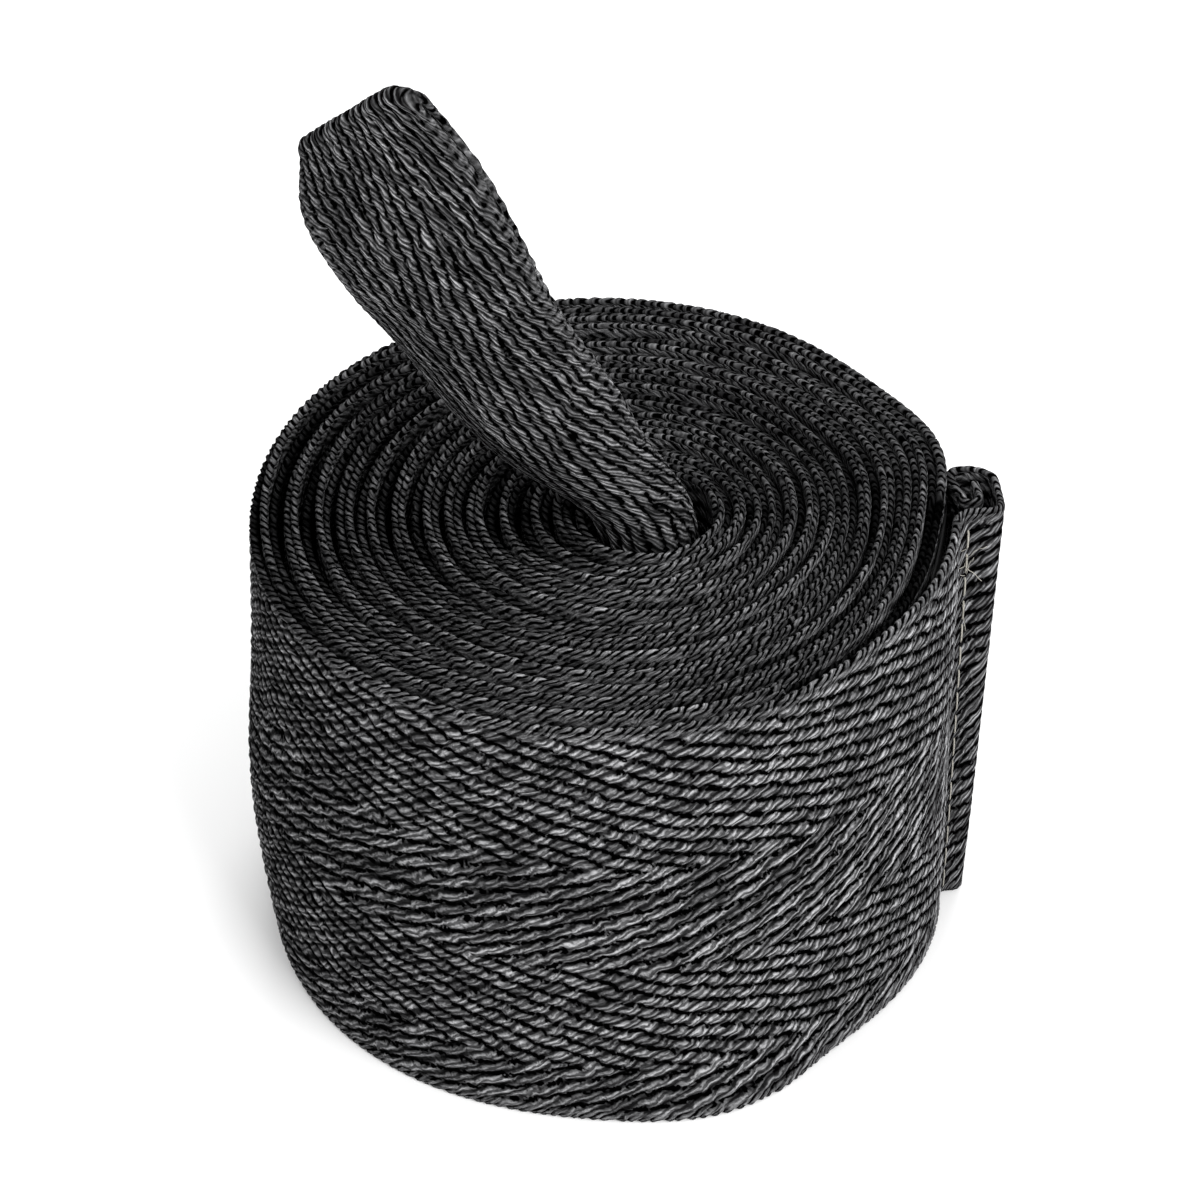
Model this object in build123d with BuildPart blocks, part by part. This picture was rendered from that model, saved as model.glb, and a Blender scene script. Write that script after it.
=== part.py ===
"""A cotton hand wrap rolled up with its thumb loop at the core and its closure on the outside.

The roll stands on its edge: its axis is upright and its base is at z = 0. The thumb loop leans
towards -X and the band's hemmed end stands off on +X. The origin is the middle of the whole
object's base, loop and hem included.
"""

import math
import os

from build123d import *

os.makedirs("parts", exist_ok=True)

# Driving dimensions, mm
band_width = 50.0  # the woven band's width, which is the height of the standing roll
band_thickness = 0.68
full_turns = 30
core_right = 8.45  # where the band's middle line first crosses the X axis on each side
core_left = -5.15
pitch_right = 0.7226  # wound tight on the right and loose on the left
pitch_left = 1.0893
split_angle = 300.0  # degrees round the last half turn, where the closure end begins
split_gap = 0.3
cut_turns = (0, 8, 15, 21, 26)  # the wound band is built as lengths, begun after so many turns
length_names = ("core_turns", "inner_turns", "middle_turns", "outer_turns", "last_turns")

flap_radius = 40.5  # the end stands off, so it bends less than the roll
flap_sweep = 49.0  # degrees
hem_rise = 80.0  # degrees, how steeply the cloth turns outwards into its hem
hem_valley_radius = 1.7
hem_ridge_radius = 1.5
hem_length = 7.0  # from where it turns outwards to the hem's far fold
hem_fold_radius = 2.08  # the fold that brings the cloth back behind itself
tuck_start = 4.4
tuck_radius = 0.95  # inner fold, which hides the raw edge
tuck_length = 1.9
crease_turn = 60.0  # degrees round the valley, where the hem's thread lies

strip_height = 44.0  # hook and pile strips, a little narrower than the band
strip_tape = 0.25  # woven backing of a hook or pile strip
strip_nap = 0.4  # its hooks or pile
strip_margin = 1.8  # bare backing round the hooks or pile, where it is sewn
strip_air = 0.05  # sewn strips lie on the cloth
hook_reach = 9.0  # degrees of the flap's curve under the hook strip
hook_tail = 5.5  # length of the hook strip behind the hem, where it runs straight
pile_front = -13.0  # degrees round the roll, where the pile strip begins and ends
pile_back = 11.0

tape_width = 20.0
tape_thickness = 1.0
ply_gap = 0.3  # between the two plies of the folded tape
loop_thickness = 2 * tape_thickness + ply_gap
core_curl = 4.4  # the tape is curled this tight inside the core
core_curl_x = 1.45
core_curl_y = -4.1
root_bottom = 14.0
root_top = 43.0
loop_bottom = 51.0
fold_wall = 1.4  # tape left at the loop's fold, beyond the gap between its plies
slit_overrun = 0.5  # the gap between the plies is cut this far past the tape

hem_thread = 0.25  # thread radii
strip_thread = 0.15
stitch_length = 2.2
stitch_pitch = 3.0
stitch_margin = 0.5  # bare strip beyond the last stitch of a column
tack_length = 9.0
tack_inset = 7.5  # from the tails' ends to the middle of a tack
tack_angles = (8.0, 18.0, 28.0)  # degrees round the curl


def crossing(half_turn):
    """Where the band's middle line crosses the X axis after so many half turns."""
    turn = half_turn // 2
    if half_turn % 2 == 0:
        return core_right + turn * pitch_right
    return core_left - turn * pitch_left


def half_turn_circle(half_turn):
    """Centre x and radius of one half turn's middle line."""
    start, end = crossing(half_turn), crossing(half_turn + 1)
    return (start + end) / 2, abs(start - end) / 2


last_half = 2 * full_turns + 1
last_x, last_radius = half_turn_circle(last_half)
end_sweep = split_angle - 180.0


def band_face(side, first, last):
    """Arcs of one face of a length of band: side is -1 for the inner face and +1 for the outer."""
    for half_turn in range(first, last):
        x, radius = half_turn_circle(half_turn)
        CenterArc((x, 0), radius + side * band_thickness / 2, 180 * (half_turn % 2), 180)


def polar(x, y, radius, degrees):
    """A point at a radius and an angle from a centre."""
    turn = math.radians(degrees)
    return (x + radius * math.cos(turn), y + radius * math.sin(turn))


# The wound band: ribbons of half-turn arcs, each from one cut across the band to the next
half_thick = band_thickness / 2
lengths = []
for name, first_turn, next_turn in zip(length_names, cut_turns, cut_turns[1:] + (None,)):
    with BuildPart() as length:
        with BuildSketch(Plane.XY):
            with BuildLine():
                last = 2 * next_turn if next_turn else last_half
                band_face(-1, 2 * first_turn, last)
                band_face(1, 2 * first_turn, last)
                start_x = crossing(2 * first_turn)
                Line((start_x - half_thick, 0), (start_x + half_thick, 0))
                if next_turn:
                    end_x = crossing(last)
                    Line((end_x - half_thick, 0), (end_x + half_thick, 0))
                else:
                    CenterArc((last_x, 0), last_radius - half_thick, 180, end_sweep)
                    CenterArc((last_x, 0), last_radius + half_thick, 180, end_sweep)
                    Line(
                        polar(last_x, 0, last_radius - half_thick, split_angle),
                        polar(last_x, 0, last_radius + half_thick, split_angle),
                    )
            make_face()
        extrude(amount=band_width)
    length.part.label = name
    lengths.append(length)

# The closure end: it leaves the roll at the split, stands off, and ends in a rolled hem
split_x, split_y = polar(last_x, 0, last_radius, split_angle)
flap_x, flap_y = polar(split_x, split_y, -flap_radius, split_angle)
flap_start = split_angle + math.degrees(split_gap / flap_radius)
flap_end = split_angle + flap_sweep
hem_x, hem_y = polar(flap_x, flap_y, flap_radius, flap_end)
hem_plane = Plane(
    origin=(hem_x, hem_y, 0),
    x_dir=(-math.sin(math.radians(flap_end)), math.cos(math.radians(flap_end)), 0),
    z_dir=(0, 0, 1),
)  # its x runs on along the band, and its -y points away from the roll
outer_layer = -2 * hem_fold_radius
tucked_layer = -2 * tuck_radius
rise = math.radians(hem_rise)
turned_out = (hem_valley_radius + hem_ridge_radius) * (1 - math.cos(rise))
riser = (-outer_layer - turned_out) / math.sin(rise)  # straight cloth between the two bends
valley_x = hem_valley_radius * math.sin(rise)
valley_y = hem_valley_radius * (math.cos(rise) - 1)
riser_x = valley_x + riser * math.cos(rise)
riser_y = valley_y - riser * math.sin(rise)
ridge_x = riser_x + hem_ridge_radius * math.sin(rise)
ridge_centre = (ridge_x, outer_layer + hem_ridge_radius)
with BuildPart() as closure_flap:
    with BuildSketch(Plane.XY):
        with BuildLine():
            CenterArc((flap_x, flap_y), flap_radius, flap_start, flap_end - flap_start)
        trace(line_width=band_thickness)
    extrude(amount=band_width)
    with BuildSketch(hem_plane):
        with BuildLine():
            CenterArc((0, -hem_valley_radius), hem_valley_radius, 90, -hem_rise)
            Line((valley_x, valley_y), (riser_x, riser_y))
            CenterArc(ridge_centre, hem_ridge_radius, 270 - hem_rise, hem_rise)
            Line((ridge_x, outer_layer), (hem_length, outer_layer))
            CenterArc((hem_length, -hem_fold_radius), hem_fold_radius, -90, 180)
            Line((hem_length, 0), (tuck_start, 0))
            CenterArc((tuck_start, -tuck_radius), tuck_radius, 90, 180)
            Line((tuck_start, tucked_layer), (tuck_start + tuck_length, tucked_layer))
        trace(line_width=band_thickness)
    extrude(amount=band_width)
closure_flap.part.label = "closure_flap"

# The hook strip lies on the flap's inner face, the pile strip on the turn below it. Each is a
# backing tape with a field of hooks or pile that leaves a margin for the stitches.
strip_base = (band_width - strip_height) / 2
nap_base = strip_base + strip_margin
nap_height = strip_height - 2 * strip_margin
hook_front = flap_end - hook_reach  # degrees round the flap's own centre
tape_out = half_thick + strip_air + strip_tape / 2  # from the band's middle line to the strip's
nap_out = half_thick + strip_air + strip_tape + strip_nap / 2
hook_inset = math.degrees(strip_margin / flap_radius)
with BuildPart() as hook_strip:
    with BuildSketch(Plane.XY.offset(strip_base)):
        with BuildLine():
            CenterArc((flap_x, flap_y), flap_radius - tape_out, hook_front, flap_end - hook_front)
        trace(line_width=strip_tape)
    extrude(amount=strip_height)
    with BuildSketch(hem_plane.offset(strip_base)):
        with BuildLine():
            Line((0, tape_out), (hook_tail, tape_out))
        trace(line_width=strip_tape)
    extrude(amount=strip_height)
    with BuildSketch(Plane.XY.offset(nap_base)):
        with BuildLine():
            nap_front = hook_front + hook_inset
            CenterArc((flap_x, flap_y), flap_radius - nap_out, nap_front, flap_end - nap_front)
        trace(line_width=strip_nap)
    extrude(amount=nap_height)
    with BuildSketch(hem_plane.offset(nap_base)):
        with BuildLine():
            Line((0, nap_out), (hook_tail - strip_margin, nap_out))
        trace(line_width=strip_nap)
    extrude(amount=nap_height)
hook_strip.part.label = "hook_strip"

under_x, under_radius = half_turn_circle(last_half - 2)  # the turn below, before the X axis
above_x, above_radius = half_turn_circle(last_half - 1)  # and past it
pile_inset = math.degrees(strip_margin / under_radius)
with BuildPart() as pile_strip:
    with BuildSketch(Plane.XY.offset(strip_base)):
        with BuildLine():
            CenterArc((under_x, 0), under_radius + tape_out, pile_front, -pile_front)
            CenterArc((above_x, 0), above_radius + tape_out, 0, pile_back)
        trace(line_width=strip_tape)
    extrude(amount=strip_height)
    with BuildSketch(Plane.XY.offset(nap_base)):
        with BuildLine():
            nap_front = pile_front + pile_inset
            CenterArc((under_x, 0), under_radius + nap_out, nap_front, -nap_front)
            CenterArc((above_x, 0), above_radius + nap_out, 0, pile_back - pile_inset)
        trace(line_width=strip_nap)
    extrude(amount=nap_height)
pile_strip.part.label = "pile_strip"


def stitch_column(x, y, low, high):
    """Planes in the middle of each upright stitch of a column, evenly spaced."""
    count = int((high - low) / stitch_pitch)
    start = low + (high - low - (count - 1) * stitch_pitch) / 2
    return [Plane((x, y, start + row * stitch_pitch)) for row in range(count)]


def place_on(plane, x, y):
    """The x and y in the part's frame of a point on the hem's plane."""
    point = plane.from_local_coords((x, y, 0))
    return point.X, point.Y


# Pale thread in the valley between the band and its rolled hem
crease_radius = hem_valley_radius - half_thick - strip_air - hem_thread
crease = polar(0, -hem_valley_radius, crease_radius, 90 - crease_turn)
crease_x, crease_y = place_on(hem_plane, *crease)
crease_column = stitch_column(crease_x, crease_y, stitch_margin, band_width - stitch_margin)
with BuildPart() as hem_stitches:
    with Locations(*crease_column):
        Cylinder(hem_thread, stitch_length)
    chamfer(hem_stitches.edges().filter_by(GeomType.CIRCLE), hem_thread / 3)
hem_stitches.part.label = "hem_stitches"

# Two columns of stitches in the margins of each strip
thread_lift = half_thick + strip_air + strip_tape + strip_air + strip_thread
margin_low = strip_base + stitch_margin
margin_high = strip_base + strip_height - stitch_margin
hook_columns = [
    polar(flap_x, flap_y, flap_radius - thread_lift, hook_front + hook_inset / 2),
    place_on(hem_plane, hook_tail - strip_margin / 2, thread_lift),
]
with BuildPart() as hook_stitches:
    for x, y in hook_columns:
        with Locations(*stitch_column(x, y, margin_low, margin_high)):
            Cylinder(strip_thread, stitch_length)
    chamfer(hook_stitches.edges().filter_by(GeomType.CIRCLE), strip_thread / 3)
hook_stitches.part.label = "hook_stitches"

pile_columns = [
    polar(under_x, 0, under_radius + thread_lift, pile_front + pile_inset / 2),
    polar(above_x, 0, above_radius + thread_lift, pile_back - pile_inset / 2),
]
with BuildPart() as pile_stitches:
    for x, y in pile_columns:
        with Locations(*stitch_column(x, y, margin_low, margin_high)):
            Cylinder(strip_thread, stitch_length)
    chamfer(pile_stitches.edges().filter_by(GeomType.CIRCLE), strip_thread / 3)
pile_stitches.part.label = "pile_stitches"


def loop_plane(origin, width_dir, run_dir):
    """A section plane of the tape: x across its width, z along its run."""
    return Plane(origin=origin, x_dir=width_dir, z_dir=run_dir)


def curled_section(curl, width, thickness, shift=0.0):
    """The tape's section, curled to a radius, its middle at the origin and bulging to -y.

    shift moves one ply out from the middle of the two.
    """
    half_angle = math.degrees(width / 2 / curl)
    start, sweep = -90 - half_angle, 2 * half_angle
    with BuildLine() as outline:
        outer = CenterArc((0, curl), curl + shift + thickness / 2, start, sweep)
        inner = CenterArc((0, curl), curl + shift - thickness / 2, start, sweep)
        Line(outer @ 0, inner @ 0)
        Line(outer @ 1, inner @ 1)
    make_face(outline.edges())


# The loop's run from the core's mouth to its fold: the curl opens out as the tape leans left
loop_run = [
    (loop_plane((core_curl_x, core_curl_y, loop_bottom), (1, 0, 0), (0, 0, 1)), core_curl),
    (loop_plane((-6.4, -3.66, 58.0), (0.998, 0.003, 0.066), (-0.066, 0.098, 0.993)), 6.5),
    (loop_plane((-14.71, -1.92, 70.0), (0.952, -0.26, 0.158), (-0.181, -0.068, 0.981)), 14.0),
    (loop_plane((-19.94, -3.26, 84.0), (0.946, -0.288, 0.148), (-0.144, 0.036, 0.989)), 40.0),
    (loop_plane((-26.02, 1.2, 96.6), (0.505, -0.498, 0.704), (-0.552, 0.44, 0.708)), 300.0),
]
with BuildPart() as thumb_loop:
    for plane, curl in loop_run:
        with BuildSketch(plane):
            curled_section(curl, tape_width, loop_thickness)
    loft()
    ply_run = list(loop_run)
    first_plane, first_curl = ply_run[0]
    last_plane, last_curl = ply_run[-1]
    ply_run[0] = (first_plane.offset(-slit_overrun), first_curl)
    ply_run[-1] = (last_plane.offset(-fold_wall), last_curl)
    for plane, curl in ply_run:
        with BuildSketch(plane):
            curled_section(curl, tape_width + 2 * slit_overrun, ply_gap)
    loft(mode=Mode.SUBTRACT)
thumb_loop.part.label = "thumb_loop"

# The tape's tails go down inside the core, curled
with BuildPart() as loop_tails:
    with BuildSketch(Plane((core_curl_x, core_curl_y, root_bottom))):
        for shift in (-1, 1):
            curled_section(core_curl, tape_width, tape_thickness, shift * (tape_thickness + ply_gap) / 2)
    extrude(amount=root_top - root_bottom)
loop_tails.part.label = "loop_tails"

# Thread bars that tack the tails to the band's inner end
tack_radius = core_curl + loop_thickness / 2 + strip_air + hem_thread
tack_rows = (root_bottom + tack_inset, root_top - tack_inset)
with BuildPart() as loop_tacks:
    for angle in tack_angles:
        x, y = polar(core_curl_x, core_curl_y + core_curl, tack_radius, angle)
        with Locations(*[Plane((x, y, z)) for z in tack_rows]):
            Cylinder(hem_thread, tack_length)
    chamfer(loop_tacks.edges().filter_by(GeomType.CIRCLE), hem_thread / 3)
loop_tacks.part.label = "loop_tacks"

pieces = (
    *lengths,
    closure_flap,
    hem_stitches,
    hook_strip,
    hook_stitches,
    pile_strip,
    pile_stitches,
    thumb_loop,
    loop_tails,
    loop_tacks,
)
for piece in pieces:
    export_step(piece.part, f"parts/{piece.part.label}.step")
    print(piece.part.label, round(piece.part.volume, 1), "mm3")
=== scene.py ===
import math

import bpy
import numpy as np
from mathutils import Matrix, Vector


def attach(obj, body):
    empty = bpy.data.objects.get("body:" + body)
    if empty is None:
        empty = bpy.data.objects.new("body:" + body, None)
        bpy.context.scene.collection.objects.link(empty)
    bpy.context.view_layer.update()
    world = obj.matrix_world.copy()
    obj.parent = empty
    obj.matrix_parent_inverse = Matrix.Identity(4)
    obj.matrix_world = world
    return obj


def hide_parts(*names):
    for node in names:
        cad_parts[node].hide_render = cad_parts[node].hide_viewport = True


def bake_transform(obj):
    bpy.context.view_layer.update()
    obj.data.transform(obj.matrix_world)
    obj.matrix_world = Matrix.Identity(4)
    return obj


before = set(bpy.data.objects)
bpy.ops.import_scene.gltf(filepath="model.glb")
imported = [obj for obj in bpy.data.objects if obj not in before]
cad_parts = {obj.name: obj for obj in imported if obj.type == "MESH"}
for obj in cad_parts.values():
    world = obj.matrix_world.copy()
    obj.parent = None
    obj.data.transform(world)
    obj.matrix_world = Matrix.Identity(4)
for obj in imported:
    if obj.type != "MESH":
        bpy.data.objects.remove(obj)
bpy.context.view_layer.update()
print("stage 1: the packed frame is in")

# Lengths are in mm until a mesh is made. s runs along a cloth, v across it and round its edges.
toMetres = 0.001

# the wound band: half-turn arcs whose centres lie on the X axis, as in CAD
roll = {
    "height": 50.0,
    "coreRight": 8.45,  # where the middle line first crosses the X axis on each side
    "coreLeft": -5.15,
    "pitchRight": 0.7226,
    "pitchLeft": 1.0893,
    "lastHalf": 61,
    "splitAngle": 300.0,
    "fill": 0.47,  # share of the space to the next turn that a turn's half thickness takes
    "thinnest": 0.2,  # half thickness where turns are packed, and where there is room
    "thickest": 0.385,
    "outerHalf": 0.36,  # half thickness of the outermost turn
    "edgeRound": 0.45,  # how far a rounded edge stands out from the flat of the cloth
    "clump": 0.19,  # how strongly turns gather in twos and threes, as a share of the pitch
    "clumpTurns": 2.45,
    "crown": 0.45,  # how far the middle of a clump stands above its sides
    "steadyTurn": 29.2,  # from here on a turn keeps its place, so the outline does too
    "outerTurn": 29.8,
    "innerRelief": 0.12,
    "slipped": 1.1,  # how far the turns under the outermost one have slipped down
    "skew": 0.055,  # the weave runs downhill a little along the outermost turn
    "skewBefore": 12.3,  # it starts this far before the split, and fades out over skewReach
    "skewReach": 30.0,
    "pull": 8e-7,  # and it is pulled further down by the closure, between these lengths
    "pullFrom": 2.0,
    "pullCurve": 32.0,
    "pullEnd": 50.0,
    "middleX": -2.55,
    "flatBack": 0.95,  # how far the roll has spread to the back and to the front
    "flatFront": 0.6,
    # how it departs from a true cylinder: height of each swelling, its middle and reach in
    # degrees round the roll, and the part of the height it takes
    "swellings": [
        (2.3, 18.0, 16.0, "all"),
        (1.2, 57.0, 30.0, "all"),
        (0.4, 95.0, 22.0, "all"),
        (0.35, 140.0, 25.0, "all"),
        (-0.4, 180.0, 30.0, "top"),
        (0.8, 180.0, 40.0, "middle"),
        (-1.3, 180.0, 45.0, "base"),
        (2.1, -70.0, 18.0, "base"),
        (-1.0, -15.0, 30.0, "base"),
    ],
}

# the weave of the band, a herringbone twill in stripes along it
bandWeave = {
    "stripe": 12.9,
    "stripeStart": 6.4,
    "lastStripe": 45.1,  # above this the weave no longer turns back
    "ribPitch": 1.65,
    "ribSlope": 0.295,
    "floatPitch": 1.39,
    "floatAngle": 35.0,
    "relief": 0.15,
    "edgePitch": 1.05,  # of the weft loops round its edges
    "edgeSlant": 1.1,
}

# the weave of the thumb loop's tape, which is finer
tapeWeave = {
    "stripe": 6.9,
    "stripeStart": -0.3,
    "lastStripe": 99.0,
    "ribPitch": 1.18,
    "ribSlope": 0.1,
    "floatPitch": 0.95,
    "floatAngle": -31.0,
    "relief": 0.12,
    "edgePitch": 1.3,
    "edgeSlant": 0.6,
}


def crossing(halfTurn):
    # Where the band's middle line crosses the X axis after so many half turns.
    turn = halfTurn // 2
    right = roll["coreRight"] + turn * roll["pitchRight"]
    left = roll["coreLeft"] - turn * roll["pitchLeft"]
    return np.where(halfTurn % 2 == 0, right, left)


halves = np.arange(roll["lastHalf"] + 2)
halfRadius = abs(crossing(halves) - crossing(halves + 1)) / 2
halfCentre = (crossing(halves) + crossing(halves + 1)) / 2
halfStart = np.concatenate(([0.0], np.cumsum(math.pi * halfRadius)))


def lengthAt(turned):
    # Length of band wound after so many half turns.
    half = int(turned)
    return halfStart[half] + (turned - half) * math.pi * halfRadius[half]


def waves(seed, count, low, high):
    # Seeded sine waves, as (wave number in n, in angle, phase, height).
    rng = np.random.default_rng(seed)
    return [
        (rng.uniform(low, high), int(rng.integers(-3, 4)), rng.uniform(0, 6.28), rng.uniform(0.5, 1.0))
        for _ in range(count)
    ]


clumpWaves = [(2 * math.pi / roll["clumpTurns"], 1, 0.6, 1.0), (2 * math.pi / 3.3, -2, 2.1, 0.55)]
swayWaves = waves(3, 5, 0.15, 0.6)
stepWaves = waves(5, 6, 2.2, 4.0)


def pitchAt(angle):
    middle = (roll["pitchRight"] + roll["pitchLeft"]) / 2
    return middle + (roll["pitchRight"] - roll["pitchLeft"]) / 2 * np.cos(angle)


def summed(parts, turns, angle, turn=0.0):
    return sum(h * np.sin(k * turns + m * angle + p + turn) for k, m, p, h in parts)


def gather(turns, angle):
    # Radial shift of a turn, which packs turns together in clumps with gaps between.
    shift = roll["clump"] * pitchAt(angle) * summed(clumpWaves, turns, angle)
    return shift * (1 - np.clip(turns - roll["steadyTurn"], 0, 1))


def settle(x, y, z, weight):
    # The roll isn't a true cylinder: it has settled out of round, and drawn in at its base.
    angle = np.arctan2(y, x - roll["middleX"])
    parts = {
        "all": 1.0,
        "top": np.clip(z / roll["height"], 0, 1) ** 3,
        "middle": np.exp(-(((z - 20.0) / 11.0) ** 2)),
        "base": np.clip(1 - z / 16.0, 0, 1) ** 2,
    }
    shift = np.where(y > 0, roll["flatBack"], roll["flatFront"]) * np.sin(angle) ** 2
    for height, middle, reach, part in roll["swellings"]:
        off = np.degrees(np.mod(angle - math.radians(middle) + math.pi, 2 * math.pi) - math.pi)
        shift = shift + height * np.exp(-((off / reach) ** 2)) * parts[part]
    shift = shift * weight
    return x + shift * np.cos(angle), y + shift * np.sin(angle)


def warp(s, v, seed):
    # The yarns of soft cloth wander a little from their true lines.
    rng = np.random.default_rng(seed)
    ds, dv = np.zeros_like(s), np.zeros_like(s)
    for size in (23.0, 9.0, 4.3, 2.4):
        a, b, c, d = rng.uniform(0, 6.28, 4)
        ds = ds + 0.04 * size**0.5 * np.sin(2 * math.pi * (s / size + v / (size * 1.7)) + a)
        dv = dv + 0.03 * size**0.5 * np.sin(2 * math.pi * (s / (size * 1.3) - v / size) + b)
        ds = ds + 0.02 * size**0.5 * np.sin(2 * math.pi * (v / size) + c)
        dv = dv + 0.02 * size**0.5 * np.sin(2 * math.pi * (s / (size * 0.8)) + d)
    return s + ds, v + dv


def pingpong(value, scale):
    return scale - np.abs(np.mod(value, 2 * scale) - scale)


def tangle(s, v, seed):
    # Uneven yarns at the size of a single float.
    rng = np.random.default_rng(seed)
    ds, dv = np.zeros_like(s), np.zeros_like(s)
    for _ in range(7):
        k, m, a, b = rng.uniform(-3.2, 3.2), rng.uniform(-3.2, 3.2), *rng.uniform(0, 6.28, 2)
        ds = ds + 0.04 * np.sin(k * s + m * v + a)
        dv = dv + 0.03 * np.sin(m * s - k * v + b)
    return s + ds, v + dv


def weaveHeight(s, v, edge, weave):
    # Relief of the cloth, 0 in its gaps to 1 on its floats: slanted floats in rows, or edge loops.
    top = weave["lastStripe"]
    zigzag = pingpong(np.minimum(v, top) - weave["stripeStart"], weave["stripe"]) + np.maximum(v - top, 0)
    tilt = math.atan(weave["ribSlope"])
    ribs = (zigzag + s * weave["ribSlope"]) * math.cos(tilt) / weave["ribPitch"]
    rib = 0.5 + 0.5 * np.cos(2 * math.pi * ribs)
    slant = math.radians(weave["floatAngle"])
    row = (v * math.cos(slant) - s * math.sin(slant)) / weave["floatPitch"]
    floats = 0.5 + 0.5 * np.cos(2 * math.pi * row)
    face = rib**0.8 * (0.4 + 0.6 * floats)
    loop = 0.5 + 0.5 * np.cos(2 * math.pi * (s - v * weave["edgeSlant"]) / weave["edgePitch"])
    return face * (1 - edge) + loop**0.8 * edge


def sectionRows(height, faceStep, edgeRows, denseOut, denseIn, sparse):
    # Rows round a flat oval section: (place across 0 to height, turn of the outward direction).
    low, high = roll["edgeRound"], height - roll["edgeRound"]
    full = np.linspace(low, high, max(2, int(round((high - low) / faceStep)) + 1))
    few = low + (high - low) * np.array(sparse)
    out = full if denseOut else few
    back = (full if denseIn else few)[::-1]
    top = np.linspace(0, math.pi, edgeRows + 2)[1:-1]
    rows = [(z, 0.0) for z in out] + [(high, a) for a in top]
    rows += [(z, math.pi) for z in back] + [(low, math.pi + a) for a in top]
    return np.array(rows)


def buildMesh(name, points, cloth=None, wearAndPaintedLight=None):
    # A closed tube of quads from points[station, row], with its cloth coordinates and how pale it is.
    count, rows = points.shape[:2]
    index = np.arange(count * rows).reshape(count, rows)
    right = np.roll(index, -1, axis=1)
    quads = np.stack([index[:-1], index[1:], right[1:], right[:-1]], axis=-1).reshape(-1, 4)
    loops = np.concatenate([quads.ravel(), index[0], index[-1][::-1]])
    totals = np.concatenate([np.full(len(quads), 4), [rows, rows]])
    starts = np.concatenate(([0], np.cumsum(totals)[:-1]))
    mesh = bpy.data.meshes.new(name)
    mesh.vertices.add(count * rows)
    mesh.vertices.foreach_set("co", (points.reshape(-1, 3) * toMetres).astype(np.float32).ravel())
    mesh.loops.add(len(loops))
    mesh.loops.foreach_set("vertex_index", loops.astype(np.int32))
    mesh.polygons.add(len(totals))
    mesh.polygons.foreach_set("loop_start", starts.astype(np.int32))
    mesh.polygons.foreach_set("loop_total", totals.astype(np.int32))
    mesh.polygons.foreach_set("use_smooth", np.ones(len(totals), bool))
    if cloth is not None:
        made = mesh.attributes.new("cloth", "FLOAT_VECTOR", "POINT")
        made.data.foreach_set("vector", cloth.reshape(-1, 3).astype(np.float32).ravel())
        # this attribute holds wear together with painted light: painted sheen, painted key light and painted
        # shade between and under the turns
        made = mesh.attributes.new("wearAndPaintedLight", "FLOAT", "POINT")
        made.data.foreach_set("value", wearAndPaintedLight.astype(np.float32).ravel())
    mesh.update(calc_edges=True)
    mesh.validate()
    piece = bpy.data.objects.new(name, mesh)
    bpy.context.scene.collection.objects.link(piece)
    return piece


def developed(rows, halfOut, halfIn):
    # v of each row: its height on the faces, running on over the top edge and under the bottom.
    place, turned = rows[:, 0], rows[:, 1]
    thick = (halfOut + halfIn)[:, None]
    over = 0.5 * thick * (1 - np.cos(turned))
    overTop = place + roll["edgeRound"] * np.sin(turned) + over
    v = np.where((turned > 0) & (turned < math.pi), overTop, place + 0 * thick)
    return np.where(turned > math.pi, place - roll["edgeRound"] + over, v)


def edgeWeight(rows, height):
    # 1 on the rounded edges, fading out over the last mm of the faces.
    place, turned = rows[:, 0], rows[:, 1]
    away = np.minimum(height - place, place)
    onEdge = (np.sin(turned) > 1e-6) | (np.sin(turned) < -1e-6)
    return np.where(onEdge, 1.0, np.clip(1.5 - 1.1 * away, 0, 1))


def wearAndGapShade(rows, high):
    # Wear and painted shade of each row: full on faces and on the crown of an edge, little down in the gap
    # between turns, where the darkness is painted shade.
    turned = rows[:, 1]
    crown = np.abs(np.sin(turned))
    onEdge = crown > 1e-6
    return np.where(onEdge, 0.08 + 0.72 * crown**2, 0.8)[None, :] * high[:, None]


def askew(s):
    # The weave runs downhill a little along the outermost turn, and more towards the closure.
    past = s - lengthAt(roll["lastHalf"] - 1 + roll["splitAngle"] / 180)
    pulled = np.clip(past - roll["pullFrom"], 0, None)
    curved = np.minimum(pulled, roll["pullCurve"])
    straight = np.minimum(pulled, roll["pullEnd"]) - curved
    growth = roll["pull"] * (curved**4 + 4 * roll["pullCurve"] ** 3 * straight)
    fromStart = past + roll["skewBefore"]
    faded = roll["skewReach"] * np.tanh(np.minimum(fromStart, 0) / roll["skewReach"])
    shift = roll["skew"] * (faded + np.maximum(fromStart, 0)) + growth
    return shift[:, None]


def liftAt(turns, angle):
    # How far a turn's top edge stands above or below the roll's height.
    lift = -roll["crown"] * summed(clumpWaves, turns, angle, math.pi / 2) * np.clip(turns / 2, 0, 1)
    return lift + 0.13 * summed(stepWaves, turns, angle) + 0.12 * summed(swayWaves, turns, angle) - 0.05


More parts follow.
